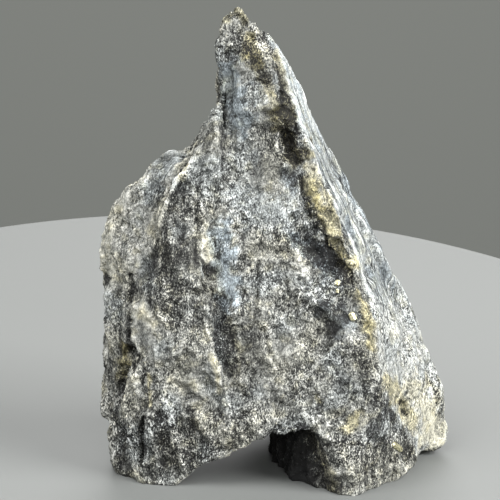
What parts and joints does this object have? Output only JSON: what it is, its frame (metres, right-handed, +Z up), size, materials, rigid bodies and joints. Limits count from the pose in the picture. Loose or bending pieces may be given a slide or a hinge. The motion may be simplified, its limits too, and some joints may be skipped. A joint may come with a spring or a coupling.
{
  "type": "calaverite specimen",
  "caption": "Hand specimen of calaverite ore: a broken peak of grey schist with an arch under it and small brassy crystals in its face.",
  "frame": {"origin": "centre of the stone's box at its base, on the surface that it stands on", "axes": "+X to the stone's right as the picture shows it, +Y to its back, +Z up through the tip"},
  "size_m": [0.036, 0.02, 0.0466],
  "materials": {
    "schist": "rough broken schist, salt-and-pepper grey with mica glints, ochre stains and pale layers on the right side",
    "calaverite": "pale brassy metallic lustre on small striated blades"
  },
  "bodies": {
    "root": {"schist_matrix": "schist", "calaverite_crystal_1": "calaverite", "calaverite_crystal_2": "calaverite", "calaverite_crystal_3": "calaverite", "calaverite_crystal_4": "calaverite"}
  },
  "joints": []
}
